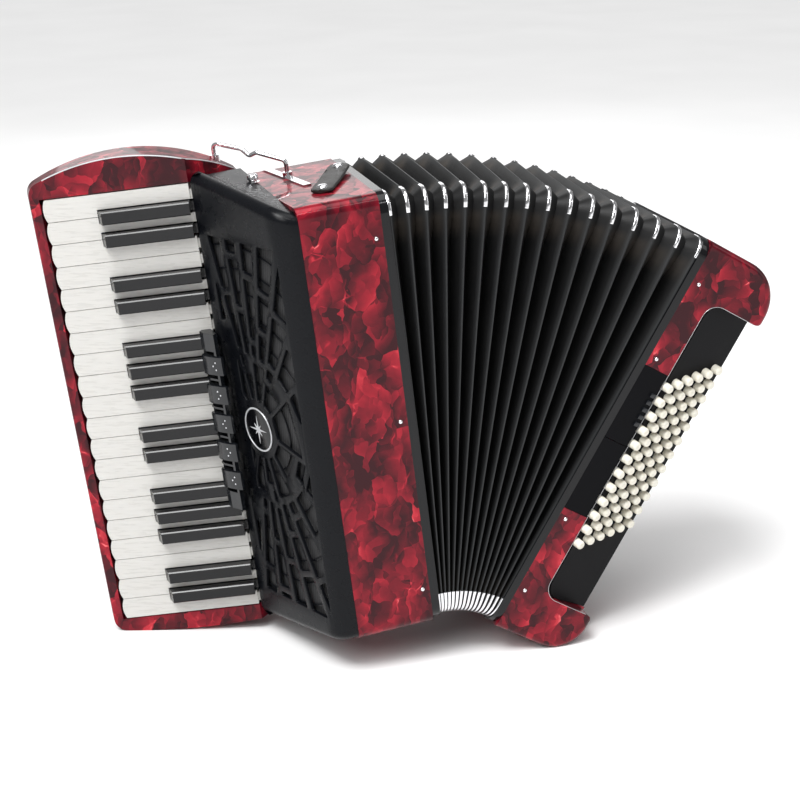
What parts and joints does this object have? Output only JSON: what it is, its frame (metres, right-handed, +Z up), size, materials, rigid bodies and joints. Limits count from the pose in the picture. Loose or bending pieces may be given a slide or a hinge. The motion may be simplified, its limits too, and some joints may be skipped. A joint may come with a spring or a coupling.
{
  "type": "piano accordion",
  "caption": "Piano accordion standing with its bellows fanned open, with a piano keyboard on one side and rows of bass buttons on the other.",
  "frame": {"origin": "centre of the bottom of the overall box, on the floor it stands on", "axes": "+X from the keyboard towards the bass side, +Y from the grille front towards the player, +Z up"},
  "size_m": [0.6061, 0.1762, 0.4389],
  "materials": {
    "ivory_keys": "polished ivory-coloured key covers",
    "black_keys": "polished black",
    "red_pearl": "polished red pearl celluloid",
    "red_pearl_bed": "polished red pearl celluloid over wood",
    "spruce": "planed",
    "reed_wood": "planed, with metal reed plates",
    "steel_rod": "drawn rod",
    "satin_black": "satin black",
    "grille_mesh": "fine black mesh",
    "register_black": "polished black",
    "chrome_wire": "bright plated",
    "black_leather": "stitched leather",
    "gloss_black": "polished black",
    "bellows_cloth": "folded card covered with black cloth",
    "ivory_buttons": "polished ivory-coloured"
  },
  "bodies": {
    "treble_side": {"treble_casing": "red_pearl", "treble_soundboard": "spruce", "treble_reed_blocks": "reed_wood", "keyboard_bed": "red_pearl_bed", "key_axle": "steel_rod", "grille_cover": "satin_black", "grille_cloth": "grille_mesh", "register_housing": "register_black", "strap_bracket": "chrome_wire", "bellows_strap": "black_leather", "treble_bellows_frame": "gloss_black", "bellows_pleats": "bellows_cloth"},
    "bass_side": {"bass_bellows_frame": "gloss_black", "bass_casing": "red_pearl", "button_board": "gloss_black", "bass_front_panels": "gloss_black", "bass_reed_block": "reed_wood", "hand_strap": "black_leather"},
    "white_key_01": {"white_key_01": "ivory_keys"},
    "white_key_02": {"white_key_02": "ivory_keys"},
    "white_key_03": {"white_key_03": "ivory_keys"},
    "white_key_04": {"white_key_04": "ivory_keys"},
    "white_key_05": {"white_key_05": "ivory_keys"},
    "white_key_06": {"white_key_06": "ivory_keys"},
    "white_key_07": {"white_key_07": "ivory_keys"},
    "white_key_08": {"white_key_08": "ivory_keys"},
    "white_key_09": {"white_key_09": "ivory_keys"},
    "white_key_10": {"white_key_10": "ivory_keys"},
    "white_key_11": {"white_key_11": "ivory_keys"},
    "white_key_12": {"white_key_12": "ivory_keys"},
    "white_key_13": {"white_key_13": "ivory_keys"},
    "white_key_14": {"white_key_14": "ivory_keys"},
    "white_key_15": {"white_key_15": "ivory_keys"},
    "white_key_16": {"white_key_16": "ivory_keys"},
    "white_key_17": {"white_key_17": "ivory_keys"},
    "white_key_18": {"white_key_18": "ivory_keys"},
    "white_key_19": {"white_key_19": "ivory_keys"},
    "white_key_20": {"white_key_20": "ivory_keys"},
    "black_key_01": {"black_key_01": "black_keys"},
    "black_key_02": {"black_key_02": "black_keys"},
    "black_key_03": {"black_key_03": "black_keys"},
    "black_key_04": {"black_key_04": "black_keys"},
    "black_key_05": {"black_key_05": "black_keys"},
    "black_key_06": {"black_key_06": "black_keys"},
    "black_key_07": {"black_key_07": "black_keys"},
    "black_key_08": {"black_key_08": "black_keys"},
    "black_key_09": {"black_key_09": "black_keys"},
    "black_key_10": {"black_key_10": "black_keys"},
    "black_key_11": {"black_key_11": "black_keys"},
    "black_key_12": {"black_key_12": "black_keys"},
    "black_key_13": {"black_key_13": "black_keys"},
    "black_key_14": {"black_key_14": "black_keys"},
    "register_switch_1": {"register_switch_1": "register_black"},
    "register_switch_2": {"register_switch_2": "register_black"},
    "register_switch_3": {"register_switch_3": "register_black"},
    "register_switch_4": {"register_switch_4": "register_black"},
    "register_switch_5": {"register_switch_5": "register_black"},
    "bass_note_buttons": {"bass_note_buttons": "ivory_buttons"},
    "bass_chord_buttons": {"bass_chord_buttons": "ivory_buttons"},
    "air_button": {"air_button": "ivory_buttons"}
  },
  "joints": [
    {"name": "bellows_fan", "type": "hinge", "parent": "treble_side", "child": "bass_side", "pos_m": [0.02771, 0.0001, 0.03726], "axis": [0, 1, 0], "range_deg": [-36.8, 4], "deforming": ["bellows_pleats"]},
    {"name": "white_key_01_press", "type": "hinge", "parent": "treble_side", "child": "white_key_01", "pos_m": [-0.14923, 0.03226, 0.40656], "axis": [0.1139, 0, -0.9935], "range_deg": [0, 2], "stiffness_Nm_per_rad": 0.34, "springref_deg": -20.05},
    {"name": "white_key_02_press", "type": "hinge", "parent": "treble_side", "child": "white_key_02", "pos_m": [-0.14701, 0.03226, 0.38719], "axis": [0.1139, 0, -0.9935], "range_deg": [0, 2], "stiffness_Nm_per_rad": 0.34, "springref_deg": -20.05},
    {"name": "white_key_03_press", "type": "hinge", "parent": "treble_side", "child": "white_key_03", "pos_m": [-0.14479, 0.03226, 0.36781], "axis": [0.1139, 0, -0.9935], "range_deg": [0, 2], "stiffness_Nm_per_rad": 0.34, "springref_deg": -20.05},
    {"name": "white_key_04_press", "type": "hinge", "parent": "treble_side", "child": "white_key_04", "pos_m": [-0.14257, 0.03226, 0.34844], "axis": [0.1139, 0, -0.9935], "range_deg": [0, 2], "stiffness_Nm_per_rad": 0.34, "springref_deg": -20.05},
    {"name": "white_key_05_press", "type": "hinge", "parent": "treble_side", "child": "white_key_05", "pos_m": [-0.14035, 0.03226, 0.32907], "axis": [0.1139, 0, -0.9935], "range_deg": [0, 2], "stiffness_Nm_per_rad": 0.34, "springref_deg": -20.05},
    {"name": "white_key_06_press", "type": "hinge", "parent": "treble_side", "child": "white_key_06", "pos_m": [-0.13813, 0.03226, 0.30969], "axis": [0.1139, 0, -0.9935], "range_deg": [0, 2], "stiffness_Nm_per_rad": 0.34, "springref_deg": -20.05},
    {"name": "white_key_07_press", "type": "hinge", "parent": "treble_side", "child": "white_key_07", "pos_m": [-0.13591, 0.03226, 0.29032], "axis": [0.1139, 0, -0.9935], "range_deg": [0, 2], "stiffness_Nm_per_rad": 0.34, "springref_deg": -20.05},
    {"name": "white_key_08_press", "type": "hinge", "parent": "treble_side", "child": "white_key_08", "pos_m": [-0.13368, 0.03226, 0.27095], "axis": [0.1139, 0, -0.9935], "range_deg": [0, 2], "stiffness_Nm_per_rad": 0.34, "springref_deg": -20.05},
    {"name": "white_key_09_press", "type": "hinge", "parent": "treble_side", "child": "white_key_09", "pos_m": [-0.13146, 0.03226, 0.25157], "axis": [0.1139, 0, -0.9935], "range_deg": [0, 2], "stiffness_Nm_per_rad": 0.34, "springref_deg": -20.05},
    {"name": "white_key_10_press", "type": "hinge", "parent": "treble_side", "child": "white_key_10", "pos_m": [-0.12924, 0.03226, 0.2322], "axis": [0.1139, 0, -0.9935], "range_deg": [0, 2], "stiffness_Nm_per_rad": 0.34, "springref_deg": -20.05},
    {"name": "white_key_11_press", "type": "hinge", "parent": "treble_side", "child": "white_key_11", "pos_m": [-0.12702, 0.03226, 0.21283], "axis": [0.1139, 0, -0.9935], "range_deg": [0, 2], "stiffness_Nm_per_rad": 0.34, "springref_deg": -20.05},
    {"name": "white_key_12_press", "type": "hinge", "parent": "treble_side", "child": "white_key_12", "pos_m": [-0.1248, 0.03226, 0.19346], "axis": [0.1139, 0, -0.9935], "range_deg": [0, 2], "stiffness_Nm_per_rad": 0.34, "springref_deg": -20.05},
    {"name": "white_key_13_press", "type": "hinge", "parent": "treble_side", "child": "white_key_13", "pos_m": [-0.12258, 0.03226, 0.17408], "axis": [0.1139, 0, -0.9935], "range_deg": [0, 2], "stiffness_Nm_per_rad": 0.34, "springref_deg": -20.05},
    {"name": "white_key_14_press", "type": "hinge", "parent": "treble_side", "child": "white_key_14", "pos_m": [-0.12036, 0.03226, 0.15471], "axis": [0.1139, 0, -0.9935], "range_deg": [0, 2], "stiffness_Nm_per_rad": 0.34, "springref_deg": -20.05},
    {"name": "white_key_15_press", "type": "hinge", "parent": "treble_side", "child": "white_key_15", "pos_m": [-0.11814, 0.03226, 0.13534], "axis": [0.1139, 0, -0.9935], "range_deg": [0, 2], "stiffness_Nm_per_rad": 0.34, "springref_deg": -20.05},
    {"name": "white_key_16_press", "type": "hinge", "parent": "treble_side", "child": "white_key_16", "pos_m": [-0.11592, 0.03226, 0.11596], "axis": [0.1139, 0, -0.9935], "range_deg": [0, 2], "stiffness_Nm_per_rad": 0.34, "springref_deg": -20.05},
    {"name": "white_key_17_press", "type": "hinge", "parent": "treble_side", "child": "white_key_17", "pos_m": [-0.11369, 0.03226, 0.09659], "axis": [0.1139, 0, -0.9935], "range_deg": [0, 2], "stiffness_Nm_per_rad": 0.34, "springref_deg": -20.05},
    {"name": "white_key_18_press", "type": "hinge", "parent": "treble_side", "child": "white_key_18", "pos_m": [-0.11147, 0.03226, 0.07722], "axis": [0.1139, 0, -0.9935], "range_deg": [0, 2], "stiffness_Nm_per_rad": 0.34, "springref_deg": -20.05},
    {"name": "white_key_19_press", "type": "hinge", "parent": "treble_side", "child": "white_key_19", "pos_m": [-0.10925, 0.03226, 0.05784], "axis": [0.1139, 0, -0.9935], "range_deg": [0, 2], "stiffness_Nm_per_rad": 0.34, "springref_deg": -20.05},
    {"name": "white_key_20_press", "type": "hinge", "parent": "treble_side", "child": "white_key_20", "pos_m": [-0.10703, 0.03226, 0.03847], "axis": [0.1139, 0, -0.9935], "range_deg": [0, 2], "stiffness_Nm_per_rad": 0.34, "springref_deg": -20.05},
    {"name": "black_key_01_press", "type": "hinge", "parent": "treble_side", "child": "black_key_01", "pos_m": [-0.14812, 0.03226, 0.39687], "axis": [0.1139, 0, -0.9935], "range_deg": [0, 2], "stiffness_Nm_per_rad": 0.34, "springref_deg": -20.05},
    {"name": "black_key_02_press", "type": "hinge", "parent": "treble_side", "child": "black_key_02", "pos_m": [-0.1459, 0.03226, 0.3775], "axis": [0.1139, 0, -0.9935], "range_deg": [0, 2], "stiffness_Nm_per_rad": 0.34, "springref_deg": -20.05},
    {"name": "black_key_03_press", "type": "hinge", "parent": "treble_side", "child": "black_key_03", "pos_m": [-0.14146, 0.03226, 0.33875], "axis": [0.1139, 0, -0.9935], "range_deg": [0, 2], "stiffness_Nm_per_rad": 0.34, "springref_deg": -20.05},
    {"name": "black_key_04_press", "type": "hinge", "parent": "treble_side", "child": "black_key_04", "pos_m": [-0.13924, 0.03226, 0.31938], "axis": [0.1139, 0, -0.9935], "range_deg": [0, 2], "stiffness_Nm_per_rad": 0.34, "springref_deg": -20.05},
    {"name": "black_key_05_press", "type": "hinge", "parent": "treble_side", "child": "black_key_05", "pos_m": [-0.1348, 0.03226, 0.28063], "axis": [0.1139, 0, -0.9935], "range_deg": [0, 2], "stiffness_Nm_per_rad": 0.34, "springref_deg": -20.05},
    {"name": "black_key_06_press", "type": "hinge", "parent": "treble_side", "child": "black_key_06", "pos_m": [-0.13257, 0.03226, 0.26126], "axis": [0.1139, 0, -0.9935], "range_deg": [0, 2], "stiffness_Nm_per_rad": 0.34, "springref_deg": -20.05},
    {"name": "black_key_07_press", "type": "hinge", "parent": "treble_side", "child": "black_key_07", "pos_m": [-0.13035, 0.03226, 0.24189], "axis": [0.1139, 0, -0.9935], "range_deg": [0, 2], "stiffness_Nm_per_rad": 0.34, "springref_deg": -20.05},
    {"name": "black_key_08_press", "type": "hinge", "parent": "treble_side", "child": "black_key_08", "pos_m": [-0.12591, 0.03226, 0.20314], "axis": [0.1139, 0, -0.9935], "range_deg": [0, 2], "stiffness_Nm_per_rad": 0.34, "springref_deg": -20.05},
    {"name": "black_key_09_press", "type": "hinge", "parent": "treble_side", "child": "black_key_09", "pos_m": [-0.12369, 0.03226, 0.18377], "axis": [0.1139, 0, -0.9935], "range_deg": [0, 2], "stiffness_Nm_per_rad": 0.34, "springref_deg": -20.05},
    {"name": "black_key_10_press", "type": "hinge", "parent": "treble_side", "child": "black_key_10", "pos_m": [-0.11925, 0.03226, 0.14502], "axis": [0.1139, 0, -0.9935], "range_deg": [0, 2], "stiffness_Nm_per_rad": 0.34, "springref_deg": -20.05},
    {"name": "black_key_11_press", "type": "hinge", "parent": "treble_side", "child": "black_key_11", "pos_m": [-0.11703, 0.03226, 0.12565], "axis": [0.1139, 0, -0.9935], "range_deg": [0, 2], "stiffness_Nm_per_rad": 0.34, "springref_deg": -20.05},
    {"name": "black_key_12_press", "type": "hinge", "parent": "treble_side", "child": "black_key_12", "pos_m": [-0.11481, 0.03226, 0.10628], "axis": [0.1139, 0, -0.9935], "range_deg": [0, 2], "stiffness_Nm_per_rad": 0.34, "springref_deg": -20.05},
    {"name": "black_key_13_press", "type": "hinge", "parent": "treble_side", "child": "black_key_13", "pos_m": [-0.11036, 0.03226, 0.06753], "axis": [0.1139, 0, -0.9935], "range_deg": [0, 2], "stiffness_Nm_per_rad": 0.34, "springref_deg": -20.05},
    {"name": "black_key_14_press", "type": "hinge", "parent": "treble_side", "child": "black_key_14", "pos_m": [-0.10814, 0.03226, 0.04816], "axis": [0.1139, 0, -0.9935], "range_deg": [0, 2], "stiffness_Nm_per_rad": 0.34, "springref_deg": -20.05},
    {"name": "register_switch_1_press", "type": "hinge", "parent": "treble_side", "child": "register_switch_1", "pos_m": [-0.16134, 0.0162, 0.26239], "axis": [0.1139, 0, -0.9935], "range_deg": [0, 4], "stiffness_Nm_per_rad": 0.02, "springref_deg": -28.65},
    {"name": "register_switch_2_press", "type": "hinge", "parent": "treble_side", "child": "register_switch_2", "pos_m": [-0.15835, 0.0162, 0.23636], "axis": [0.1139, 0, -0.9935], "range_deg": [0, 4], "stiffness_Nm_per_rad": 0.02, "springref_deg": -28.65},
    {"name": "register_switch_3_press", "type": "hinge", "parent": "treble_side", "child": "register_switch_3", "pos_m": [-0.15537, 0.0162, 0.21033], "axis": [0.1139, 0, -0.9935], "range_deg": [0, 4], "stiffness_Nm_per_rad": 0.02, "springref_deg": -28.65},
    {"name": "register_switch_4_press", "type": "hinge", "parent": "treble_side", "child": "register_switch_4", "pos_m": [-0.15238, 0.0162, 0.1843], "axis": [0.1139, 0, -0.9935], "range_deg": [0, 4], "stiffness_Nm_per_rad": 0.02, "springref_deg": -28.65},
    {"name": "register_switch_5_press", "type": "hinge", "parent": "treble_side", "child": "register_switch_5", "pos_m": [-0.1494, 0.0162, 0.15827], "axis": [0.1139, 0, -0.9935], "range_deg": [0, 4], "stiffness_Nm_per_rad": 0.02, "springref_deg": -28.65},
    {"name": "bass_note_buttons_press", "type": "slide", "parent": "bass_side", "child": "bass_note_buttons", "axis": [-0.3236, 0.9272, 0.1888], "range_m": [0, 0.004], "stiffness_N_per_m": 300, "springref_m": -0.004},
    {"name": "bass_chord_buttons_press", "type": "slide", "parent": "bass_side", "child": "bass_chord_buttons", "axis": [-0.3236, 0.9272, 0.1888], "range_m": [0, 0.004], "stiffness_N_per_m": 300, "springref_m": -0.004},
    {"name": "air_button_press", "type": "slide", "parent": "bass_side", "child": "air_button", "axis": [-0.8638, 0, 0.5039], "range_m": [0, 0.004], "stiffness_N_per_m": 400, "springref_m": -0.004}
  ]
}
